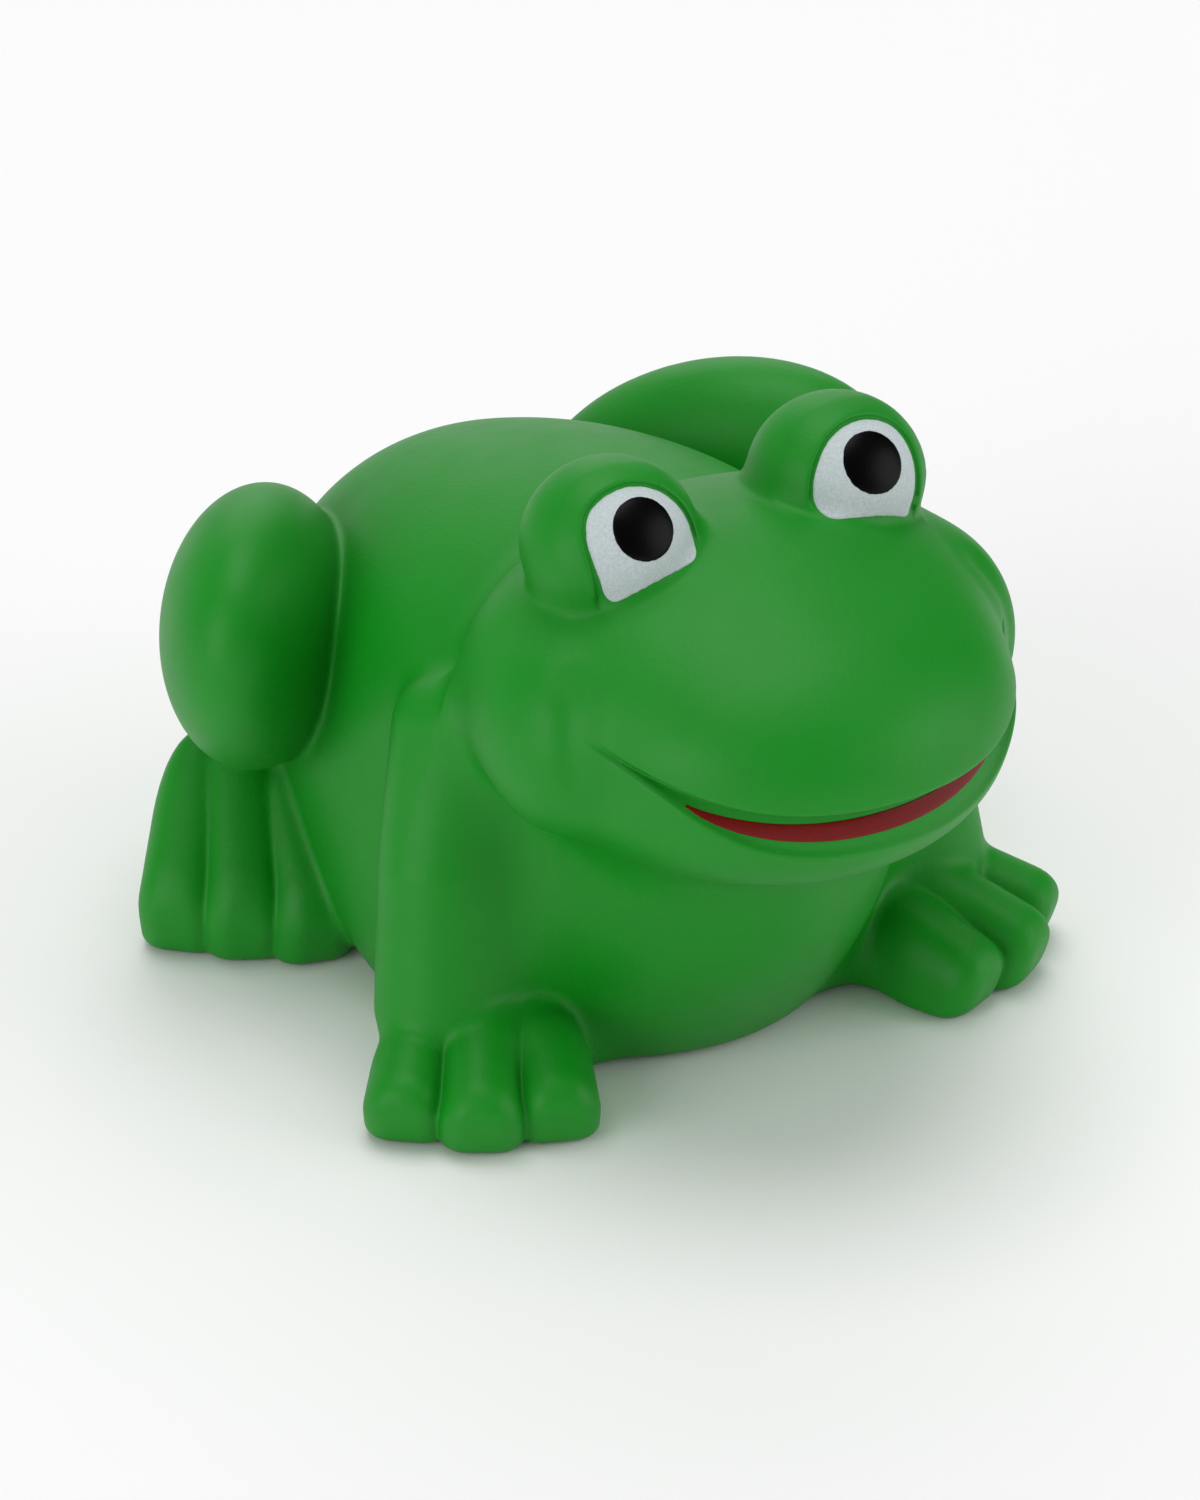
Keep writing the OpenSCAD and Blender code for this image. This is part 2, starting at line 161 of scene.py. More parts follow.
class FrogForm(bpy.types.PropertyGroup):
    """Sizes of the moulded figure and its paint, with places on its left half, from the sculpting line."""

    sculpt_y: length("Sculpting line", 2.3525, "Where the sculpting line crosses the part's length")

    torso_place: place("Torso place", (0, 11.2, 20.8), "Middle of the torso")
    torso_size: sizes("Torso size", (45.6, 59.8, 45), "the torso")
    torso_pitch: angle("Torso pitch", 0.5, "How far the rump is lower than the chest")
    shoulder_place: place("Shoulder place", (0, 1, 31.6), "Middle of the rounded shoulders")
    shoulder_size: sizes("Shoulder size", (43, 42, 24.6), "the shoulders")
    belly_place: place("Belly place", (0, 3, 9), "Middle of the belly")
    belly_size: sizes("Belly size", (46, 48.4, 36), "the belly")
    chest_place: place("Chest place", (0, -11, 19), "Middle of the rounded chest under the jaw")
    chest_size: sizes("Chest size", (34, 36, 28), "the chest")
    chest_blend: length("Chest blend", 9, "Width over which the chest flows into the jaw and the belly")
    trunk_blend: length("Trunk blend", 7, "Width over which torso, shoulders and belly flow together")

    head_place: place("Head place", (0, -17, 38), "Middle of the head")
    head_size: sizes("Head size", (48, 33.5, 27), "the head over the cheeks")
    muzzle_place: place("Muzzle place", (0, -27.5, 38.6), "Middle of the muzzle")
    muzzle_size: sizes("Muzzle size", (38.2, 34, 21), "the muzzle")
    muzzle_pitch: angle("Muzzle pitch", 8, "How far the muzzle droops")
    jaw_place: place("Jaw place", (0, -25, 32.5), "Middle of the lower jaw")
    jaw_size: sizes("Jaw size", (37, 34, 17), "the lower jaw")
    cheek_place: place("Cheek place", (19, -21, 36.8), "Middle of the left cheek")
    cheek_size: sizes("Cheek size", (11.4, 15, 16), "a cheek")
    cheek_blend: length("Cheek blend", 2.5, "Width over which a cheek flows into the face")
    face_blend: length("Face blend", 5, "Width over which cheeks, muzzle and jaw flow together")
    neck_blend: length("Neck blend", 3.5, "Width over which the head flows into the neck")

    lip_z: length("Lip height", 36.2, "Height of the upper lip's edge on the midline")
    smile_w: length("Smile width", 42, "Distance between the corners of the mouth")
    smile_rise: length("Smile rise", 4.4, "How far the corners rise above the middle of the lip")
    mouth_h: length("Groove height", 4.2, "Height of the groove under the upper lip")
    mouth_depth: length("Groove depth", 1.8, "Depth of the groove under the upper lip")
    mouth_corner: length("Groove corner", 0.5, "Height of the groove at its corners")
    lower_lip: share("Lower lip", 0.2, "Share of the groove's depth that is left at the lower lip")
    dimple_top: place("Dimple top", (20.3, -25, 44.2), "Upper end of the crease by the mouth's left corner")
    dimple_foot: place("Dimple foot", (21.6, -27.8, 37), "Lower end of that crease")
    dimple_w: length("Dimple width", 1.3, "Half the width of that crease")
    dimple_depth: length("Dimple depth", 0.35, "Depth of that crease")
    lip_round: length("Lip rounding", 0.6, "Rounding of the lip's edges")
    smile_curve: power("Smile curve", 3.5, "How late the lip turns up towards its corners")
    groove_curve: power("Groove curve", 2.5, "How soon the groove closes towards its corners")

    red_w: length("Red width", 29.4, "Width of the red band")
    red_shift: length("Red shift", -1.2, "How far the painted band is off the midline, towards the left")
    red_lean: length("Red lean", 0.35, "How much higher the band's left end is painted")
    red_h: length("Red height", 1.8, "Height of the red band on the midline")
    red_drop: length("Red drop", 1.2, "Drop from the upper lip's edge to the red band")
    red_end: share("Red end", 0.6, "Share of that drop that is left at the band's ends")
    red_tip: share("Red tip", 0.173, "Share of the band's height that is left at its ends")

    hood_place: place("Hood place", (11.1, -16.8, 51), "Middle of the hood over the left eye")
    hood_size: sizes("Hood size", (14.6, 14.6, 13.8), "a hood")
    hood_blend: length("Hood blend", 2, "Width over which a hood flows into the head")
    eye_recess: length("Eye recess", 0.5, "Depth of the eye below the hood's rim")
    eye_blend: length("Eye blend", 1.5, "Width over which the eye flows into the face below it")
    eye_tilt: angle("Eye tilt", 34, "How far the eye looks up")
    eye_splay: angle("Eye splay", 11, "How far the eye looks outwards")
    eye_in: length("Eye shift", 0.6, "Shift of the opening's middle towards the midline")
    eye_d: length("Eye opening", 11.2, "Diameter of the opening in the hood")
    eye_drop: length("Eye drop", 1.6, "Drop from the eye's axis to the middle of the opening")
    eye_start: length("Eye start", 2.24, "Distance along the eye's axis from which the hood is open")
    eye_side: length("Eye side", 5, "Distance from the opening's middle to its flatter outer side")
    eye_slant: angle("Eye slant", 15, "How far that side slants in towards the lower lid")
    lid_drop: length("Lid drop", 4.7, "Drop from the eye's axis to the lower lid")
    lid_slope: angle("Lid slope", 17, "Slope of the lower lid, down towards the cheek")
    side_round: length("Side rounding", 2.5, "Rounding between the opening's round and that side")
    lid_round: length("Lid rounding", 0.8, "Rounding of the opening's corners")
    rim_round: length("Rim rounding", 0.6, "Rounding of the hood's rim")
    pupil_d: length("Pupil", 5.3, "Diameter of a pupil")
    pupil_in: length("Pupil shift", 0.85, "Distance of a pupil from the hood's axis towards the midline")

    arm_place: place("Upper arm", (20.9, -6.3, 31.6), "Top of the arm's axis")
    arm_d: length("Upper arm diameter", 9, "Diameter of the arm at the shoulder")
    elbow_place: place("Elbow", (23.6, -9.2, 20), "Elbow on the arm's axis")
    elbow_d: length("Elbow diameter", 10, "Diameter of the arm at the elbow")
    wrist_place: place("Wrist", (24.3, -11, 8), "Wrist on the arm's axis")
    wrist_d: length("Wrist diameter", 11.4, "Diameter of the arm at the wrist")
    sole_place: place("Sole", (21, -15, 3.5), "Outer end of the sole that joins the foot to the belly")
    sole_root: place("Sole root", (12.5, -11.5, 3), "Inner end of that sole")
    sole_d: length("Sole diameter", 9, "Thickness of that sole")
    front_toes: place("Front toes", (27.5, -22.7, 6.2), "Middle of the front toe tips, on top of their ends")
    front_heading: angle("Front heading", 32, "How far the front foot points outwards")
    front_spread: length("Front spread", 6.8, "Distance between neighbouring front toe tips")
    front_lead: length("Front lead", 1.8, "How far the middle front toe leads the others")
    front_toe_l: length("Front toe length", 9, "Distance from the front toe tips back to the knuckles")
    front_knuckle: length("Front knuckles", 5.4, "Distance between neighbouring front knuckles")
    front_knuckle_z: length("Front knuckle height", 10.2, "Height of the middle front knuckle")
    front_fall: length("Front knuckle fall", 1, "How far the other front knuckles are below the middle one")
    front_out: length("Front knuckle shift", 0, "Distance of the front knuckles outwards of the toe tips")
    front_toe_w: length("Front toe width", 7.3, "Width of a front toe")

    thigh_place: place("Thigh place", (23.2, 20.8, 29.4), "Middle of the folded left thigh")
    thigh_size: sizes("Thigh size", (16.3, 36.3, 24.8), "a thigh")
    thigh_pitch: angle("Thigh pitch", 25.7, "How far the knee is higher than the hip")
    thigh_roll: angle("Thigh roll", -1, "How far the top of the thigh leans outwards")
    thigh_yaw: angle("Thigh yaw", 39, "How far the knee points outwards")
    hind_toes: place("Hind toes", (28.65, 14.4, 7), "Middle of the hind toe tips, on top of their ends")
    hind_heading: angle("Hind heading", 40, "How far the hind foot points outwards")
    hind_spread: length("Hind spread", 6.6, "Distance between neighbouring hind toe tips")
    hind_lead: length("Hind lead", 0.6, "How far the middle hind toe leads the others")
    hind_toe_l: length("Hind toe length", 10.5, "Distance from the hind toe tips back to the ankle")
    hind_knuckle: length("Ankle spacing", 3.8, "Distance between the toes at the ankle")
    hind_knuckle_z: length("Ankle height", 19, "Height of the ankle under the thigh")
    hind_fall: length("Ankle fall", 1.5, "How far the ankle falls to both sides")
    hind_out: length("Ankle shift", 2, "Distance of the ankle outwards of the toe tips")
    hind_toe_w: length("Hind toe width", 7.2, "Width of a hind toe")
    toe_round: length("Toe rounding", 2.4, "Rounding of the blunt ends of the toes")
    toe_top: length("Toe top", 2.4, "Rounding of the upper edges of the toes")
    toe_crown: length("Toe crown", 1.9, "How far the top of a toe falls from its middle to its sides")
    toe_under: length("Toe undercut", 1.7, "How far the blunt end of a toe draws back to the ground")
    heel_round: length("Heel rounding", 7, "Rounding of the back of a foot")
    toe_blend: length("Toe blend", 0.5, "Width of the crease between neighbouring toes")
    leg_blend: length("Leg blend", 1.1, "Width of the crease between a leg and the body")
    arm_blend: length("Arm blend", 2.2, "Width of the fold between an arm and the flank behind it")
    arm_front_blend: length("Arm front blend", 7, "Width over which an arm flows into the chest")
    arm_front_y: length("Arm front", 4, "Distance over which the fold widens to the arm's front")
    sole_blend: length("Sole blend", 3, "Width over which a front foot flows into the belly")
    base_round: length("Base rounding", 1.4, "Rounding of the edge of the flat base")

    skin_t: length("Skin thickness", 1, "Thickness of the green skin")
    pour_d: length("Pour spot", 12, "Diameter of the trimmed pour spot in the base")
    paint_t: length("Paint thickness", 0.15, "How far the paint stands off the skin")
    paint_gap: length("Paint gap", 0.3, "Bare border between the white and the hood's rim")


class FrogFinish(bpy.types.PropertyGroup):
    """Colours and gloss of the materials."""

    skin: colour("Skin", "#078B16", "Green of the moulded skin")
    skin_deep: colour("Deep skin", "#058213", "Green where the colour lies thicker")
    skin_rough: share("Skin roughness", 0.48, "Roughness of the satin skin")
    skin_gloss: share("Skin gloss", 0.34, "Strength of the skin's sheen")
    white: colour("White", "#BDC7C9", "Sprayed white of the eyes")
    black: colour("Black", "#040404", "Printed black of the pupils")
    red: colour("Red", "#700B05", "Red of the mouth")
    foam: colour("Foam", "#E2D6A8", "Cut foam at the pour spot")


class FrogStage(bpy.types.PropertyGroup):
    """Camera, floor and light."""

    azimuth: angle("Azimuth", -32, "Turn of the camera round the frog")
    elevation: angle("Elevation", 29, "Height of the camera over the horizon")
    distance: length("Distance", 800, "Distance of the camera from its aim")
    aim: place("Aim", (3.36, 10.345, 15.45), "Point in the middle of the picture")
    lens: bpy.props.FloatProperty(
        name="Lens", description="Focal length in mm", default=220.8, subtype="DISTANCE_CAMERA"
    )
    floor: colour("Floor", "#F4F4F4", "Pale seamless floor")
    room: share("Room light", 0.45, "Strength of the even white light from all round")


def turned(pitch, roll=0.0, yaw=0.0):
    """Rotation matrix of a form that is rolled about Y, pitched about X and then turned about Z."""
    return np.array(Euler((pitch, roll, yaw), "YXZ").to_matrix())


def unit(ways):
    """Directions of length 1."""
    return ways / np.maximum(np.linalg.norm(ways, axis=1), TINY)[:, None]


def full_turn(count):
    """Evenly spaced angles once round."""
    return np.arange(count) * 2 * math.pi / count


def oval(points, middle, full, turn=None):
    """Distance outside an ellipsoid of full sizes, less than 0 inside it."""
    local = points - np.array(middle)
    if turn is not None:
        local = local @ turn
    half = np.array(full) / 2
    k = np.linalg.norm(local / half, axis=1)
    slope = np.linalg.norm(local / half**2, axis=1)
    return k * (k - 1) / np.maximum(slope, TINY)


def limb(points, start, end, start_d, end_d):
    """Distance outside a round limb that tapers from start to end."""
    start, along = np.array(start), np.array(end) - np.array(start)
    reach = np.clip((points - start) @ along / (along @ along), 0, 1)
    from_axis = np.linalg.norm(points - start - reach[:, None] * along, axis=1)
    return from_axis - (start_d + reach * (end_d - start_d)) / 2


def melt(a, b, width):
    """Joins two distances with a fillet over a width."""
    return np.minimum(a, b) - np.maximum(width - np.abs(a - b), 0) ** 2 / (4 * width)


def carve(a, b, width):
    """Keeps what is in both distances, with the edge rounded over a width."""
    return np.maximum(a, b) + np.maximum(width - np.abs(a - b), 0) ** 2 / (4 * width)


def toe_ends(tips, heading, spread, lead, toe_l, knuckle, knuckle_z, fall, out):
    """Knuckle and tip of each of the three toes that fan out from a foot."""
    x, y, tip_z = tips
    ahead = np.array([math.sin(heading), -math.cos(heading)])
    aside = np.array([math.cos(heading), math.sin(heading)])
    ends = []
    for i in (-1, 0, 1):
        tip = np.array([x, y]) + i * spread * aside + (lead if i == 0 else 0) * ahead
        root = np.array([x, y]) + (i * knuckle + out) * aside - toe_l * ahead
        ends.append((np.array([*root, knuckle_z - abs(i) * fall]), np.array([*tip, tip_z])))
    return ends


class Sculpt:
    """The moulded frog as a distance outside its surface, in metres, less than 0 inside it."""

    def __init__(self, form):
        self.form = form
        turn = np.array(Euler((-form.eye_tilt, 0, form.eye_splay)).to_matrix())
        self.eye_across, look_back, self.eye_up = turn.T
        self.look = -look_back
        self.front, self.hind = (
            toe_ends(*[getattr(form, f"{foot}_{value}") for value in FOOT_VALUES])
            for foot in ("front", "hind")
        )

    def lip(self, x):
        """Height of the upper lip's edge at a distance from the midline."""
        f = self.form
        return f.lip_z + f.smile_rise * np.abs(2 * x / f.smile_w) ** f.smile_curve

    def trunk(self, p):
        """Torso, shoulders and belly."""
        f = self.form
        torso = oval(p, f.torso_place, f.torso_size, turned(-f.torso_pitch))
        shoulders = oval(p, f.shoulder_place, f.shoulder_size)
        belly = oval(p, f.belly_place, f.belly_size)
        return melt(melt(torso, shoulders, f.trunk_blend), belly, f.trunk_blend)

    def face(self, p):
        """Head, cheeks, muzzle and jaw, with the groove under the upper lip."""
        f = self.form
        head = oval(p, f.head_place, f.head_size)
        muzzle = oval(p, f.muzzle_place, f.muzzle_size, turned(f.muzzle_pitch))
        jaw = oval(p, f.jaw_place, f.jaw_size)
        whole = melt(melt(head, muzzle, f.face_blend), jaw, f.face_blend)
        whole = melt(whole, oval(p, f.cheek_place, f.cheek_size), f.cheek_blend)
        dimple = limb(p, f.dimple_top, f.dimple_foot, 0, 0)
        whole = whole + f.dimple_depth * np.exp(-((dimple / f.dimple_w) ** 2))
        above = p[:, 2] - self.lip(p[:, 0])
        # The groove is tall and deep on the midline, and closes to a crease at the corners
        closed = np.clip(2 * p[:, 0] / f.smile_w, 0, 1) ** 2
        tall = f.mouth_corner + (f.mouth_h - f.mouth_corner) * (1 - closed**2) ** f.groove_curve
        floor = f.mouth_depth * (1 - closed**3) * np.clip(1 + (1 - f.lower_lip) * above / tall, 0, 1)
        floor = floor - f.lip_round * closed**3
        slot = carve(above, -tall - above, f.lip_round)
        groove = carve(slot, -(whole + floor), f.lip_round)
        ahead = p[:, 1] < f.head_place[1]
        return np.where(ahead, carve(whole, -groove, f.lip_round), whole)

    def eye_axes(self, p):
        """Place of each point across, up and out along the left eye's axis."""
        local = p - np.array(self.form.hood_place)
        return local @ self.eye_across, local @ self.eye_up, local @ self.look

    def arch(self, across, up):
        """Distance outside the arch of the hood, on the eye's own plane, which stands on the face."""
        f = self.form
        round_part = np.hypot(across + f.eye_in, np.maximum(up + f.eye_drop, 0)) - f.eye_d / 2
        return carve(round_part, self.side(across, up), f.side_round)

    def side(self, across, up):
        """Distance outside the flatter outer side of the eye's opening."""
        f = self.form
        past = (across + f.eye_in - f.eye_side) * math.cos(f.eye_slant)
        return past - (up + f.eye_drop) * math.sin(f.eye_slant)

    def opening(self, across, up):
        """Distance outside the white's outline on the eye's plane: a round that the lower lid cuts off."""
        f = self.form
        round_part = np.hypot(across + f.eye_in, up + f.eye_drop) - f.eye_d / 2
        lid = -(across + f.eye_in) * math.sin(f.lid_slope) - up * math.cos(f.lid_slope) - f.lid_drop
        return carve(carve(round_part, self.side(across, up), f.side_round), lid, f.lid_round)

    def ball(self, p):
        """Distance outside the eye, which lies a little below the hood."""
        f = self.form
        return oval(p, f.hood_place, np.array(f.hood_size) - 2 * f.eye_recess)

    def legs(self, p, body):
        """Adds the legs and their toes to the body."""
        f = self.form
        thigh = oval(p, f.thigh_place, f.thigh_size, turned(-f.thigh_pitch, f.thigh_roll, f.thigh_yaw))
        body = melt(body, thigh, f.leg_blend)
        body = melt(body, self.toes(p, self.hind, f.hind_toe_w), f.leg_blend)
        upper = limb(p, f.arm_place, f.elbow_place, f.arm_d, f.elbow_d)
        lower = limb(p, f.elbow_place, f.wrist_place, f.elbow_d, f.wrist_d)
        ahead = np.clip((f.arm_place[1] - p[:, 1]) / f.arm_front_y, 0, 1)
        fold = f.arm_blend + ahead * (f.arm_front_blend - f.arm_blend)
        body = melt(body, np.minimum(upper, lower), fold)
        body = melt(body, self.toes(p, self.front, f.front_toe_w), f.leg_blend)
        sole = limb(p, f.sole_root, f.sole_place, f.sole_d, f.sole_d)
        return melt(body, sole, f.sole_blend)

    def toe(self, p, root, tip, wide):
        """One blunt toe with upright sides, and a top that falls from the knuckle to the tip."""
        corner = self.form.toe_round
        along = (tip - root)[:2]
        reach = np.linalg.norm(along)
        past = (p - tip)[:, :2] @ along / reach
        aside = np.abs((p - tip)[:, :2] @ np.array([-along[1], along[0]])) / reach
        under = self.form.toe_under * np.clip(1 - p[:, 2] / tip[2], 0, 1) ** 2
        from_side, from_end = aside - wide / 2 + corner, past + under + corner
        plan = np.hypot(np.maximum(from_side, 0), np.maximum(from_end, 0)) - corner
        plan = plan + np.minimum(np.maximum(from_side, from_end), 0)
        fall = (root - tip)[2] / reach
        crown = self.form.toe_crown * (2 * aside / wide) ** 2
        top = (p[:, 2] - tip[2] + fall * past + crown) / math.hypot(1, fall)
        heel = -past - reach - wide / 2
        return carve(carve(plan, top, self.form.toe_top), heel, self.form.heel_round)

    def toes(self, p, ends, wide):
        """Three toes side by side with a crease between them."""
        joined = None
        for root, tip in ends:
            toe = self.toe(p, root, tip, wide)
            joined = toe if joined is None else melt(joined, toe, self.form.toe_blend)
        return joined

    def __call__(self, points):
        """Distance of each point outside the finished figure."""
        f = self.form
        p = points - (0, f.sculpt_y, 0)
        p[:, 0] = np.abs(p[:, 0])
        body = melt(self.trunk(p), self.face(p), f.neck_blend)
        body = melt(body, oval(p, f.chest_place, f.chest_size), f.chest_blend)
        body = melt(body, self.ball(p), f.eye_blend)
        across, up, out = self.eye_axes(p)
        arch = self.arch(across, up)
        window = carve(arch, f.eye_start - out, f.rim_round)
        hood = carve(oval(p, f.hood_place, f.hood_size), -window, f.rim_round)
        # The hood flows into the head outside the arch, and stands sharply on the eye inside it
        outside = np.where(out > 0, np.clip(arch / f.hood_blend, 0, 1), 1)
        body = melt(body, hood, f.rim_round / 2 + outside * (f.hood_blend - f.rim_round / 2))
        body = self.legs(p, body)
        return carve(body, -points[:, 2], f.base_round)

    def slope(self, points):
        """Distance and its direction of growth, from four points close round each one."""
        near = 0.01 * MM
        total, rise = 0, 0
        for corner in ((1, -1, -1), (-1, -1, 1), (-1, 1, -1), (1, 1, 1)):
            value = self(points + near * np.array(corner))
            total = total + value
            rise = rise + value[:, None] * np.array(corner)
        return total / 4, rise / (4 * near)


def surface_net(sculpt, step, level):
    """Triangles on the surface that lies level outside the sculpt, a point to each grid cell it crosses."""
    margin = 3 * step
    low, high = np.array(CAD_BOX[0]) - margin, np.array(CAD_BOX[1]) + margin
    counts = np.ceil((high - low) / step).astype(int) + 1
    axes = [low[a] + step * np.arange(counts[a]) for a in range(3)]
    grid = np.stack(np.meshgrid(*axes, indexing="ij"), -1).reshape(-1, 3)
    value = sculpt(grid).reshape(counts) - level
    cells = counts - 1
    total, hits = np.zeros((*cells, 3)), np.zeros(cells)
    for axis in range(3):
        b, c = (axis + 1) % 3, (axis + 2) % 3
        for shift in ((0, 0), (0, 1), (1, 0), (1, 1)):
            start = np.zeros(3, int)
            start[b], start[c] = shift
            end = start.copy()
            end[axis] += 1
            v0 = value[tuple(slice(s, s + n) for s, n in zip(start, cells))]
            v1 = value[tuple(slice(s, s + n) for s, n in zip(end, cells))]
            crossed = (v0 < 0) != (v1 < 0)
            at = np.where(crossed, v0 / np.where(crossed, v0 - v1, 1), 0)
            spot = start + np.eye(3)[axis] * at[..., None]
            total += np.where(crossed[..., None], spot, 0)
            hits += crossed
    active = hits > 0
    number = np.full(cells, -1)
    number[active] = np.arange(active.sum())
    points = low + step * (np.argwhere(active) + total[active] / hits[active][:, None])
    faces = []
    for axis in range(3):
        b, c = (axis + 1) % 3, (axis + 2) % 3
        v0 = np.moveaxis(value, (axis, b, c), (0, 1, 2))
        cell = np.moveaxis(number, (axis, b, c), (0, 1, 2))
        crossed = (v0[:-1, 1:-1, 1:-1] < 0) != (v0[1:, 1:-1, 1:-1] < 0)
        i, j, k = np.nonzero(crossed)
        quad = np.stack([cell[i, j, k], cell[i, j + 1, k], cell[i, j + 1, k + 1], cell[i, j, k + 1]], 1)
        leaves = v0[i, j + 1, k + 1] < 0
        faces.append(np.where(leaves[:, None], quad, quad[:, ::-1]))
    quads = np.vstack(faces)
    corner = points[quads]
    across = np.linalg.norm(corner[:, 0] - corner[:, 2], axis=1)
    other = np.linalg.norm(corner[:, 1] - corner[:, 3], axis=1)
    quads = np.where((across <= other)[:, None], quads, np.roll(quads, -1, axis=1))
    return points, np.vstack([quads[:, [0, 1, 2]], quads[:, [0, 2, 3]]])


def settle(points, sculpt, level, rounds=3):
    """Moves the points onto the surface, and returns them with the way that it faces there."""
    longest = 0.5 * MM
    least = 0.05
    for _ in range(rounds):
        value, rise = sculpt.slope(points)
        steep = np.maximum((rise**2).sum(axis=1), least)
        step = np.clip((value - level) / steep, -longest, longest)
        points = points - step[:, None] * rise
    _, rise = sculpt.slope(points)
    return points, unit(rise)


def edge_ends(faces):
    """Both ends of each side of each triangle."""
    return faces[:, [[0, 1], [1, 2], [2, 0]]].reshape(-1, 2)


def relax(points, faces, normals, strength):
    """Draws each point along the surface towards the middle of its neighbours."""
    ends = edge_ends(faces)
    count = np.bincount(ends[:, 0], minlength=len(points))
    total = np.stack([np.bincount(ends[:, 0], points[ends[:, 1], a], len(points)) for a in range(3)], 1)
    drift = total / np.maximum(count, 1)[:, None] - points
    drift -= (drift * normals).sum(axis=1)[:, None] * normals
    return points + strength * drift


def split_edges(points, faces, normals, finest):
    """Splits the edges that bend sharply, down to a finest length, and cuts the triangles to match."""
    ends = np.sort(edge_ends(faces), axis=1)
    keys, which = np.unique(ends[:, 0] * len(points) + ends[:, 1], return_inverse=True)
    edges = np.stack([keys // len(points), keys % len(points)], 1)
    a, b = edges.T
    bent = (normals[a] * normals[b]).sum(axis=1) < math.cos(SHARP_BEND)
    chosen = bent & (np.linalg.norm(points[a] - points[b], axis=1) > 2 * finest)
    middle = np.full(len(edges), -1)
    middle[chosen] = len(points) + np.arange(chosen.sum())
    points = np.vstack([points, points[edges[chosen]].mean(axis=1)])
    cut = middle[which].reshape(-1, 3)
    count = (cut >= 0).sum(axis=1)
    # Each triangle is turned so that its cut sides come first
    first = np.where(count == 1, np.argmax(cut >= 0, axis=1), (np.argmin(cut >= 0, axis=1) + 1) % 3)
    order = (first[:, None] + np.arange(3)) % 3
    a, b, c = np.take_along_axis(faces, order, 1).T
    ab, bc, ca = np.take_along_axis(cut, order, 1).T
    patterns = {
        0: [(a, b, c)],
        1: [(a, ab, c), (ab, b, c)],
        2: [(ab, b, bc), (a, ab, bc), (a, bc, c)],
        3: [(a, ab, ca), (ab, b, bc), (ca, bc, c), (ab, bc, ca)],
    }
    pieces = [np.stack(t, 1)[count == n] for n, triangles in patterns.items() for t in triangles]
    return points, np.vstack(pieces)


def cast_surface(sculpt, step, level, finest=None):
    """Mesh of the surface that lies level outside the sculpt, with smaller triangles where it bends."""
    points, faces = surface_net(sculpt, step, level)
    points, normals = settle(points, sculpt, level)
    firm, light, enough = 0.5, 0.3, 1.04
    for _ in range(3):
        points, normals = settle(relax(points, faces, normals, firm), sculpt, level, 1)
    while finest:
        before = len(faces)
        points, faces = split_edges(points, faces, normals, finest)
        points, normals = settle(points, sculpt, level, 2)
        points, normals = settle(relax(points, faces, normals, light), sculpt, level, 2)
        if len(faces) < enough * before:
            break
    return points, faces, normals


def open_base(points, faces, normals, hole, height):
    """Opens a round hole in the flat face at a height, and returns the mesh and the hole's rim in order."""
    near = 0.1 * MM
    radius = np.hypot(points[:, 0], points[:, 1])
    gone = (np.abs(points[:, 2] - height) < near) & (radius < hole)
    faces = faces[~gone[faces].any(axis=1)]
    used = np.unique(faces)
    number = np.full(len(points), -1)
    number[used] = np.arange(len(used))
    points, normals, faces = points[used], normals[used], number[faces]
    ends = edge_ends(faces)
    forward, back = ends @ [len(points), 1], ends[:, ::-1] @ [len(points), 1]
    rim = np.unique(ends[~np.isin(forward, back)])
    points[rim, :2] *= (hole / np.hypot(points[rim, 0], points[rim, 1]))[:, None]
    points[rim, 2] = height
    return points, faces, normals, rim[np.argsort(np.arctan2(points[rim, 1], points[rim, 0]))]


def zip_rims(points, lower, upper):
    """Triangles of the wall between two round rims, facing away from the axis."""
    turn = np.arctan2(points[:, 1], points[:, 0])
    faces, i, j = [], 0, 0
    while i < len(lower) or j < len(upper):
        a, b = lower[i % len(lower)], upper[j % len(upper)]
        next_a, next_b = lower[(i + 1) % len(lower)], upper[(j + 1) % len(upper)]
        ahead_a = turn[next_a] + (2 * math.pi if i + 1 >= len(lower) else 0)
        ahead_b = turn[next_b] + (2 * math.pi if j + 1 >= len(upper) else 0)
        if j >= len(upper) or (i < len(lower) and ahead_a <= ahead_b):
            faces.append((a, next_a, b))
            i += 1
        else:
            faces.append((a, next_b, b))
            j += 1
    return np.array(faces)


def make_mesh(name, points, faces, normals=None):
    """Mesh of triangles with smooth shading, and with its own normals where they are given."""
    mesh = bpy.data.meshes.new(name)
    mesh.vertices.add(len(points))
    mesh.vertices.foreach_set("co", np.asarray(points, np.float32).ravel())
    mesh.loops.add(3 * len(faces))
    mesh.loops.foreach_set("vertex_index", np.asarray(faces, np.int32).ravel())
    mesh.polygons.add(len(faces))
    mesh.polygons.foreach_set("loop_start", np.arange(0, 3 * len(faces), 3, dtype=np.int32))
    mesh.update(calc_edges=True)
    mesh.validate()
    mesh.shade_smooth()
    if normals is not None:
        mesh.normals_split_custom_set_from_vertices(normals)
    return mesh


def link_object(name, data):
    """New object in the scene."""
    made = bpy.data.objects.new(name, data)
    bpy.context.scene.collection.objects.link(made)
    return made


def put_piece(name, mesh, material, node):
    """Links a finished piece that stands for a node of the frame."""
    mesh.materials.clear()
    mesh.materials.append(material)
    piece = link_object(name, mesh)
    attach(piece, "root")
    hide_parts(node)
    return piece


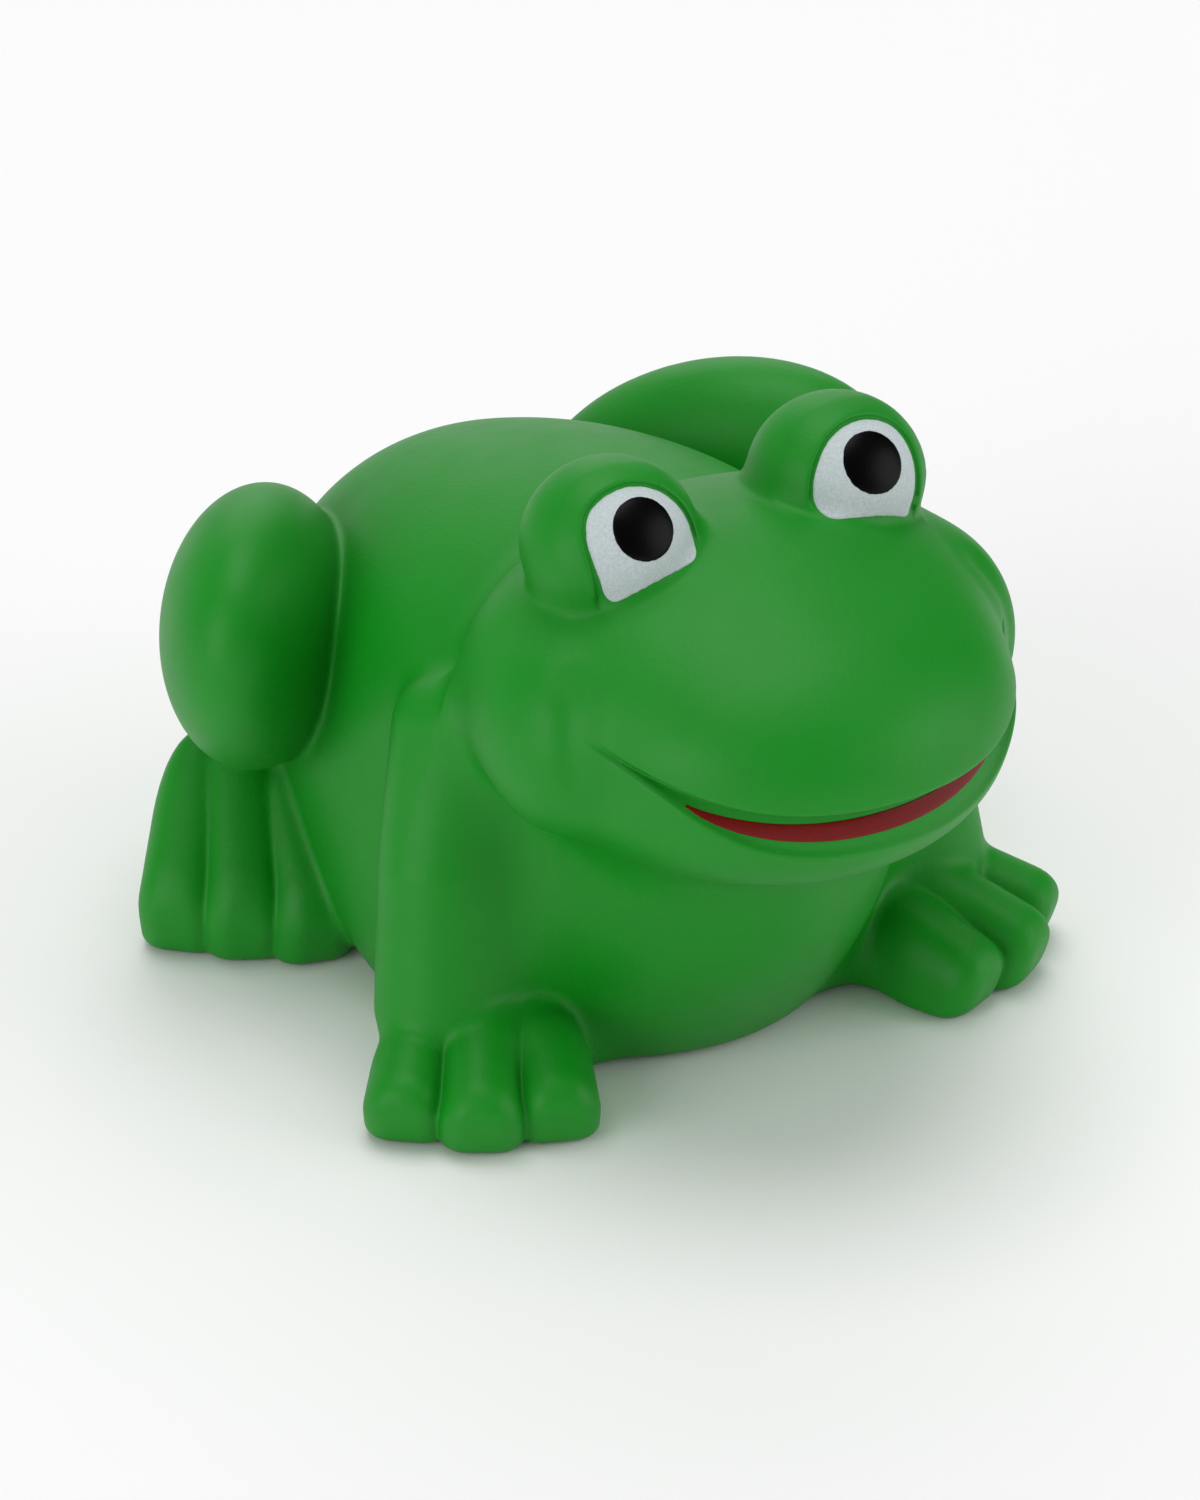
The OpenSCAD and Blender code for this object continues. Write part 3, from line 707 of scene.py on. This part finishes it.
def add_node(tree, kind, inputs=(), **settings):
    """Adds a node with its settings, and gives each of its inputs a value or a link."""
    node = tree.nodes.new(kind)
    for name, value in settings.items():
        setattr(node, name, value)
    for socket, value in dict(inputs).items():
        if isinstance(value, bpy.types.NodeSocket):
            tree.links.new(value, node.inputs[socket])
        else:
            node.inputs[socket].default_value = value
    return node


def new_material(name):
    """Empty material with its tree."""
    material = bpy.data.materials.new(name)
    material.use_nodes = True
    material.node_tree.nodes.clear()
    return material, material.node_tree


def close_material(tree, look):
    """Ends a material's tree with a surface of that look."""
    surface = add_node(tree, "ShaderNodeBsdfPrincipled", look)
    add_node(tree, "ShaderNodeOutputMaterial", {"Surface": surface.outputs[0]})


def texture(tree, kind, mm, **inputs):
    """Texture fixed to the piece, with features about that many millimetres across."""
    at = add_node(tree, "ShaderNodeTexCoord").outputs["Object"]
    return add_node(tree, kind, {"Vector": at, "Scale": 1 / (mm * MM), **inputs})


def noise(tree, mm, detail):
    """Value of a noise with features about that many millimetres across."""
    return texture(tree, "ShaderNodeTexNoise", mm, Detail=detail).outputs["Fac"]


def mixed(tree, value, low, high):
    """Colour that goes from low to high with a value."""
    inputs = {0: value, 6: (*low, 1), 7: (*high, 1)}
    return add_node(tree, "ShaderNodeMix", inputs, data_type="RGBA").outputs[2]


def bumped(tree, height, strength, mm):
    """Normal of a surface with relief that is up to that many millimetres deep."""
    inputs = {"Height": height, "Strength": strength, "Distance": mm * MM}
    return add_node(tree, "ShaderNodeBump", inputs).outputs["Normal"]


def skin_material(finish):
    """Green polyurethane skin, foamed in a mould: satin, its sheen broken up by a fine orange peel."""
    material, tree = new_material("moulded_polyurethane_skin")
    mottle, peel, worn = noise(tree, 9, 3.0), noise(tree, 0.4, 2.0), noise(tree, 4, 4.0)
    shiny, dull = finish.skin_rough - 0.06, finish.skin_rough + 0.08
    rough = add_node(tree, "ShaderNodeMapRange", {"Value": worn, "To Min": shiny, "To Max": dull})
    look = {
        "Base Color": mixed(tree, mottle, finish.skin, finish.skin_deep),
        "Roughness": rough.outputs["Result"],
        "Specular IOR Level": finish.skin_gloss,
        "Normal": bumped(tree, peel, 0.8, 0.03),
    }
    close_material(tree, look)
    return material


def paint_material(name, tint, rough, gloss, stipple, strength):
    """Paint laid on the skin: a fine stipple from the spray or the pad roughens it."""
    material, tree = new_material(name)
    dust = noise(tree, stipple, 3.0)
    thin = [0.72 * c for c in tint]
    thick = [min(1, 1.22 * c) for c in tint]
    look = {
        "Base Color": mixed(tree, dust, thin, thick),
        "Roughness": rough,
        "Specular IOR Level": gloss,
        "Normal": bumped(tree, dust, strength, 0.04),
    }
    close_material(tree, look)
    return material


def foam_material(finish):
    """Cut polyurethane foam: pale and dull, with open cells a few tenths of a millimetre across, their
    hollows darkened with painted shade.
    """
    material, tree = new_material("cut_polyurethane_foam")
    depth = texture(tree, "ShaderNodeTexVoronoi", 0.5).outputs["Distance"]
    # Painted shade: the foam is darker towards the middle of each open cell, where the bump sinks it
    pit_shade = [0.55 * c for c in finish.foam]
    look = {
        "Base Color": mixed(tree, depth, pit_shade, finish.foam),
        "Roughness": 0.9,
        "IOR": 1.45,
        "Normal": bumped(tree, depth, 0.8, 0.2),
    }
    close_material(tree, look)
    return material


def grow(tree, mesh, values):
    """Mesh that a Geometry Nodes tree makes of a mesh, with the tree's inputs set by name."""
    seed = link_object("seed", mesh)
    modifier = seed.modifiers.new("grow", "NODES")
    modifier.node_group = tree
    for item in tree.interface.items_tree:
        if item.item_type == "SOCKET" and item.in_out == "INPUT" and item.name in values:
            modifier[item.identifier] = values[item.name]
    evaluated = seed.evaluated_get(bpy.context.evaluated_depsgraph_get())
    made = bpy.data.meshes.new_from_object(evaluated)
    seed.modifiers.remove(modifier)
    bpy.data.objects.remove(seed)
    return made


class FROG_OT_green_skin(bpy.types.Operator):
    """Cast the green skin round the whole figure"""

    bl_idname = "frog.green_skin"
    bl_label = "Green skin"

    def execute(self, context):
        form = context.scene.frog_form
        sculpt = Sculpt(form)
        hole = form.pour_d / 2
        outside = cast_surface(sculpt, SKIN_STEP, 0.0, FINEST)
        lining = cast_surface(sculpt, LINING_STEP, -form.skin_t)
        points, faces, normals, rim = open_base(*outside, hole, 0.0)
        inner, inner_faces, _, inner_rim = open_base(*lining, hole, form.skin_t)
        count = len(points)
        points = np.vstack([points, inner])
        wall = zip_rims(points, rim, inner_rim + count)
        faces = np.vstack([faces, inner_faces[:, ::-1] + count, wall[:, ::-1]])
        # Where a normal is zero, the mesh keeps the one that its faces give
        normals[rim] = 0
        normals = np.vstack([normals, np.zeros_like(inner)])
        mesh = make_mesh("green_skin_mesh", points, faces, normals)
        green = skin_material(context.scene.frog_finish)
        skin = put_piece("frog_skin", mesh, green, "green_skin")
        return {"FINISHED"}


class FROG_OT_foam_core(bpy.types.Operator):
    """Fill the skin with foam, down to the trimmed pour spot"""

    bl_idname = "frog.foam_core"
    bl_label = "Foam core"

    def execute(self, context):
        form = context.scene.frog_form
        gap = 0.05 * MM
        top = form.skin_t + gap
        spot = form.pour_d / 2 - gap
        cast = cast_surface(Sculpt(form), LINING_STEP, -top)
        points, faces, _, rim = open_base(*cast, spot, top)
        turn = np.arctan2(points[rim, 1], points[rim, 0])
        tear = np.random.default_rng(7)
        rings, walls = [rim], []
        for reach, height in SPOT_RINGS:
            ring = np.stack([np.cos(turn), np.sin(turn), 0 * turn], 1) * reach * spot
            ring[:, 2] = height
            if reach < SPOT_EDGE:
                ring[:, 2] += SPOT_TEAR * tear.standard_normal(len(rim))
            rings.append(len(points) + np.arange(len(rim)))
            points = np.vstack([points, ring])
        points = np.vstack([points, (0, 0, SPOT_MIDDLE)])
        for upper, lower in zip(rings, rings[1:]):
            after_upper, after_lower = np.roll(upper, -1), np.roll(lower, -1)
            walls.append(np.stack([lower, after_lower, after_upper], 1))
            walls.append(np.stack([lower, after_upper, upper], 1))
        last = rings[-1]
        walls.append(np.stack([np.full(len(last), len(points) - 1), np.roll(last, -1), last], 1))
        mesh = make_mesh("foam_core_mesh", points, np.vstack([faces, *walls]))
        foam = foam_material(context.scene.frog_finish)
        core = put_piece("frog_foam_core", mesh, foam, "foam_core")
        return {"FINISHED"}


def on_eye(sculpt, across, up):
    """Points of the left eye's surface over places on the eye's plane, and the way that it faces there."""
    form = sculpt.form
    flat = across[:, None] * sculpt.eye_across + up[:, None] * sculpt.eye_up
    middle = np.array(form.hood_place) + (0, form.sculpt_y, 0)
    points = middle + flat + form.hood_size[1] / 2 * sculpt.look
    # Each point comes in along the look until it meets the surface
    rounds, pace = 40, 0.8
    for _ in range(rounds):
        points = points - pace * sculpt(points)[:, None] * sculpt.look
    _, facing = sculpt.slope(points)
    return points, unit(facing)


def paint_film(sculpt, side, middle, reach, base, lift, sink):
    """Closed layer of paint on an eye, inside an outline that reach gives for each angle round its middle.

    It stands lift above a base height, thins out to its edge, and is sunk below the base underneath.
    """
    rings, fade = 14, 8
    count = len(reach)
    turn = full_turn(count)
    shares = np.sin(np.linspace(0, math.pi / 2, rings + 1))[1:]
    crown = base + lift * np.sqrt(1 - shares**fade)
    levels = [*zip(shares, crown), *((part, base - sink) for part in shares[::-1])]
    layers = []
    for part, height in [(0, base + lift), *levels, (0, base - sink)]:
        across = middle[0] + part * reach * np.cos(turn)
        up = middle[1] + part * reach * np.sin(turn)
        if part == 0:
            across, up = across[:1], up[:1]
        surface, facing = on_eye(sculpt, across, up)
        layers.append(surface + height * facing)
    points = np.vstack(layers)
    ring = np.arange(count)
    start = 1
    faces = [np.stack([0 * ring, start + ring, start + (ring + 1) % count], 1)]
    for _ in range(len(levels) - 1):
        a, b = start + ring, start + (ring + 1) % count
        faces += [np.stack([a, a + count, b + count], 1), np.stack([a, b + count, b], 1)]
        start += count
    faces.append(np.stack([0 * ring + len(points) - 1, start + (ring + 1) % count, start + ring], 1))
    faces = np.vstack(faces)
    if side == RIGHT:
        points = points * (-1, 1, 1)
        faces = faces[:, ::-1]
    return points, faces


def outline_reach(sculpt, middle, inset, count):
    """Distance from a place on the eye's plane to the opening's outline, less an inset, for each angle."""
    turn = full_turn(count)
    low, high = np.zeros(count), np.full(count, sculpt.form.eye_d)
    halvings = 40
    for _ in range(halvings):
        half = (low + high) / 2
        across = middle[0] + half * np.cos(turn)
        outside = sculpt.opening(across, middle[1] + half * np.sin(turn)) > -inset
        low, high = np.where(outside, low, half), np.where(outside, half, high)
    return low


def ragged(count, seed, size):
    """Small uneven steps round an outline, as a spray mask leaves them."""
    draw = np.random.default_rng(seed)
    turn = full_turn(count)
    total = 0
    for waves in range(4, 40):
        height = draw.normal() / waves**0.5
        total = total + height * np.cos(waves * turn + draw.uniform(0, 2 * math.pi))
    return size * total / np.abs(total).max()


class FROG_OT_eye_whites(bpy.types.Operator):
    """Spray the white of both eyes"""

    bl_idname = "frog.eye_whites"
    bl_label = "Eye whites"

    def execute(self, context):
        form = context.scene.frog_form
        sculpt = Sculpt(form)
        white = context.scene.frog_finish.white
        look = {"rough": 0.62, "gloss": 0.3, "stipple": 0.2, "strength": 0.9}
        paint = paint_material("sprayed_white_paint", white, **look)
        middle, count = (-form.eye_in, -form.eye_drop), 144
        uneven, sink = 0.05 * MM, 0.1 * MM
        outline = outline_reach(sculpt, middle, form.paint_gap, count)
        for side, name in SIDES:
            reach = outline + ragged(count, 11 + side, uneven)
            film = paint_film(sculpt, side, middle, reach, 0.0, form.paint_t, sink)
            mesh = make_mesh(f"{name}_white_mesh", *film)
            put_piece(f"{name}_white", mesh, paint, f"{name}_eye_white")
        return {"FINISHED"}


class FROG_OT_pupils(bpy.types.Operator):
    """Print the pupils of both eyes"""

    bl_idname = "frog.pupils"
    bl_label = "Pupils"

    def execute(self, context):
        form = context.scene.frog_form
        sculpt = Sculpt(form)
        black = context.scene.frog_finish.black
        look = {"rough": 0.36, "gloss": 0.12, "stipple": 0.25, "strength": 0.3}
        ink = paint_material("printed_black_paint", black, **look)
        middle, count = (-form.pupil_in, 0.0), 96
        uneven, sink, lift = 0.03 * MM, 0.05 * MM, 0.6 * form.paint_t
        for side, name in SIDES:
            reach = form.pupil_d / 2 + ragged(count, 21 + side, uneven)
            film = paint_film(sculpt, side, middle, reach, form.paint_t, lift, sink)
            mesh = make_mesh(f"{name}_pupil_mesh", *film)
            put_piece(f"{name}_pupil_print", mesh, ink, f"{name}_pupil")
        return {"FINISHED"}


def band_tree(material):
    """Geometry Nodes tree that sweeps a flat bead of paint along a path on the skin."""
    tree = bpy.data.node_groups.new("painted_band", "GeometryNodeTree")
    tree.interface.new_socket("Geometry", in_out="INPUT", socket_type="NodeSocketGeometry")
    thin = tree.interface.new_socket("Thinness", in_out="INPUT", socket_type="NodeSocketFloat")
    thin.default_value = 0.2
    tree.interface.new_socket("Geometry", in_out="OUTPUT", socket_type="NodeSocketGeometry")
    given = add_node(tree, "NodeGroupInput")
    path = add_node(tree, "GeometryNodeMeshToCurve", {"Mesh": given.outputs["Geometry"]})
    facing = add_node(
        tree, "GeometryNodeInputNamedAttribute", {"Name": "facing"}, data_type="FLOAT_VECTOR"
    )
    half = add_node(tree, "GeometryNodeInputNamedAttribute", {"Name": "half"}, data_type="FLOAT")
    aimed = add_node(
        tree,
        "GeometryNodeSetCurveNormal",
        {"Curve": path.outputs[0], "Normal": facing.outputs["Attribute"]},
        mode="FREE",
    )
    circle = add_node(tree, "GeometryNodeCurvePrimitiveCircle", {"Resolution": 20, "Radius": 1.0})
    squeeze = add_node(
        tree, "ShaderNodeCombineXYZ", {"X": given.outputs["Thinness"], "Y": 1.0, "Z": 1.0}
    )
    profile = add_node(
        tree, "GeometryNodeTransform", {"Geometry": circle.outputs[0], "Scale": squeeze.outputs[0]}
    )
    bead = add_node(
        tree,
        "GeometryNodeCurveToMesh",
        {
            "Curve": aimed.outputs[0],
            "Profile Curve": profile.outputs[0],
            "Scale": half.outputs["Attribute"],
            "Fill Caps": True,
        },
    )
    whole = add_node(tree, "GeometryNodeRealizeInstances", {"Geometry": bead.outputs[0]})
    painted = add_node(
        tree, "GeometryNodeSetMaterial", {"Geometry": whole.outputs[0], "Material": material}
    )
    add_node(tree, "NodeGroupOutput", {"Geometry": painted.outputs[0]})
    return tree


def reach_face(sculpt, x, z):
    """Points where lines along the frog's length, from the front, first meet the skin."""
    lead, rounds, pace = 5 * MM, 300, 0.7
    y = np.full(len(x), CAD_BOX[0].y - lead)
    for _ in range(rounds):
        y = y + pace * sculpt(np.stack([x, y, z], 1))
    return np.stack([x, y, z], 1)


class FROG_OT_red_mouth(bpy.types.Operator):
    """Paint the red band in the mouth"""

    bl_idname = "frog.red_mouth"
    bl_label = "Red mouth"

    def execute(self, context):
        form = context.scene.frog_form
        sculpt = Sculpt(form)
        look = {"rough": 0.4, "gloss": 0.2, "stipple": 0.3, "strength": 0.6}
        red = paint_material("brushed_red_paint", context.scene.frog_finish.red, **look)
        turn = np.linspace(0, math.pi, 81)
        x = form.red_shift - form.red_w / 2 * np.cos(turn)
        half = form.red_h / 2 * np.maximum(np.sin(turn), form.red_tip)
        level = form.red_end + (1 - form.red_end) * np.sin(turn)
        drop = form.red_drop * level + form.red_lean * np.cos(turn)
        path = reach_face(sculpt, x, sculpt.lip(x) - drop - half)
        _, facing = settle(path, sculpt, 0.0, 1)
        line = bpy.data.meshes.new("smile_line")
        line.from_pydata(path.tolist(), [(i, i + 1) for i in range(len(path) - 1)], [])
        thick = line.attributes.new("half", "FLOAT", "POINT")
        thick.data.foreach_set("value", half.astype(np.float32))
        outwards = line.attributes.new("facing", "FLOAT_VECTOR", "POINT")
        outwards.data.foreach_set("vector", facing.astype(np.float32).ravel())
        mesh = grow(band_tree(red), line, {"Thinness": form.paint_t / (form.red_h / 2)})
        mesh.name = "red_band_mesh"
        mesh.shade_smooth()
        put_piece("mouth_band", mesh, red, "red_mouth")
        return {"FINISHED"}


def looking(way):
    """Turn of a lamp or a camera that looks along a direction."""
    return way.to_track_quat("-Z", "Y").to_euler()


class FROG_OT_stage(bpy.types.Operator):
    """Set the pale floor, the soft light and the camera"""

    bl_idname = "frog.stage"
    bl_label = "Stage"

    def execute(self, context):
        stage = context.scene.frog_stage
        self.lay_floor(stage)
        self.hang_lights(stage)
        camera = link_object("camera", bpy.data.cameras.new("camera"))
        a, e = stage.azimuth, stage.elevation
        back = Vector((math.sin(a) * math.cos(e), -math.cos(a) * math.cos(e), math.sin(e)))
        camera.location = Vector(stage.aim) + stage.distance * back
        camera.rotation_euler = looking(-back)
        camera.data.lens = stage.lens
        camera.data.sensor_width = SENSOR_W
        camera.data.clip_start, camera.data.clip_end = 0.01, 20
        context.scene.camera = camera
        context.scene.view_settings.view_transform = "Standard"
        return {"FINISHED"}

    def lay_floor(self, stage):
        """Floor that sweeps up behind the frog."""
        wide, deep, bend, tall, steps = 3.0, 1.5, 0.6, 2.0, 24
        line = [(-deep, 0.0)]
        for i in range(steps + 1):
            t = math.radians(90 * i / steps)
            line.append((deep + bend * math.sin(t), bend - bend * math.cos(t)))
        line.append((deep + bend, tall))
        points = [(x, y, z) for y, z in line for x in (-wide, wide)]
        faces = [(2 * i, 2 * i + 1, 2 * i + 3, 2 * i + 2) for i in range(len(line) - 1)]
        mesh = bpy.data.meshes.new("floor")
        mesh.from_pydata(points, [], faces)
        mesh.shade_smooth()
        material, tree = new_material("pale_floor")
        close_material(tree, {"Base Color": (*stage.floor, 1), "Roughness": 0.7})
        mesh.materials.append(material)
        link_object("floor", mesh)

    def hang_lights(self, stage):
        """One broad soft box overhead, softer ones from the sides, and an even white room."""
        for name, spot, aim, size, watts in SOFT_BOXES:
            light = bpy.data.lights.new(name, "AREA")
            light.shape = "DISK"
            light.size = size
            light.energy = watts
            lamp = link_object(name, light)
            lamp.location = spot
            lamp.rotation_euler = looking(Vector(aim) - Vector(spot))
        world = bpy.data.worlds.new("white_room")
        bpy.context.scene.world = world
        world.use_nodes = True
        walls = world.node_tree.nodes["Background"]
        walls.inputs["Color"].default_value = (1, 1, 1, 1)
        walls.inputs["Strength"].default_value = stage.room
        # The room lights the creases and leaves no white reflection in them
        world.cycles_visibility.glossy = False


class FROG_PT_panel(bpy.types.Panel):
    """Sidebar panel that lists the frog's pieces and its sizes"""

    bl_idname = "FROG_PT_panel"
    bl_label = "Foam stress frog"
    bl_space_type = "VIEW_3D"
    bl_region_type = "UI"
    bl_category = "Frog"

    def draw(self, context):
        for operator in OPERATORS:
            self.layout.operator(operator.bl_idname)
        for group in (context.scene.frog_form, context.scene.frog_finish, context.scene.frog_stage):
            box = self.layout.box()
            for name in group.bl_rna.properties.keys():
                if name not in ("rna_type", "name"):
                    box.prop(group, name)


GROUPS = {"frog_form": FrogForm, "frog_finish": FrogFinish, "frog_stage": FrogStage}
OPERATORS = (
    FROG_OT_foam_core,
    FROG_OT_green_skin,
    FROG_OT_eye_whites,
    FROG_OT_pupils,
    FROG_OT_red_mouth,
    FROG_OT_stage,
)


def register():
    """Adds the value groups, the operators and the panel to Blender."""
    for group in GROUPS.values():
        bpy.utils.register_class(group)
    for name, group in GROUPS.items():
        setattr(bpy.types.Scene, name, bpy.props.PointerProperty(type=group))
    for item in (*OPERATORS, FROG_PT_panel):
        bpy.utils.register_class(item)


def unregister():
    """Takes them out again."""
    for item in (FROG_PT_panel, *reversed(OPERATORS)):
        bpy.utils.unregister_class(item)
    for name in GROUPS:
        delattr(bpy.types.Scene, name)
    for group in reversed(GROUPS.values()):
        bpy.utils.unregister_class(group)


def main():
    """Builds every piece and the stage."""
    register()
    bpy.ops.frog.foam_core()
    bpy.ops.frog.green_skin()
    bpy.ops.frog.eye_whites()
    bpy.ops.frog.pupils()
    bpy.ops.frog.red_mouth()
    bpy.ops.frog.stage()


if __name__ == "__main__":
    main()
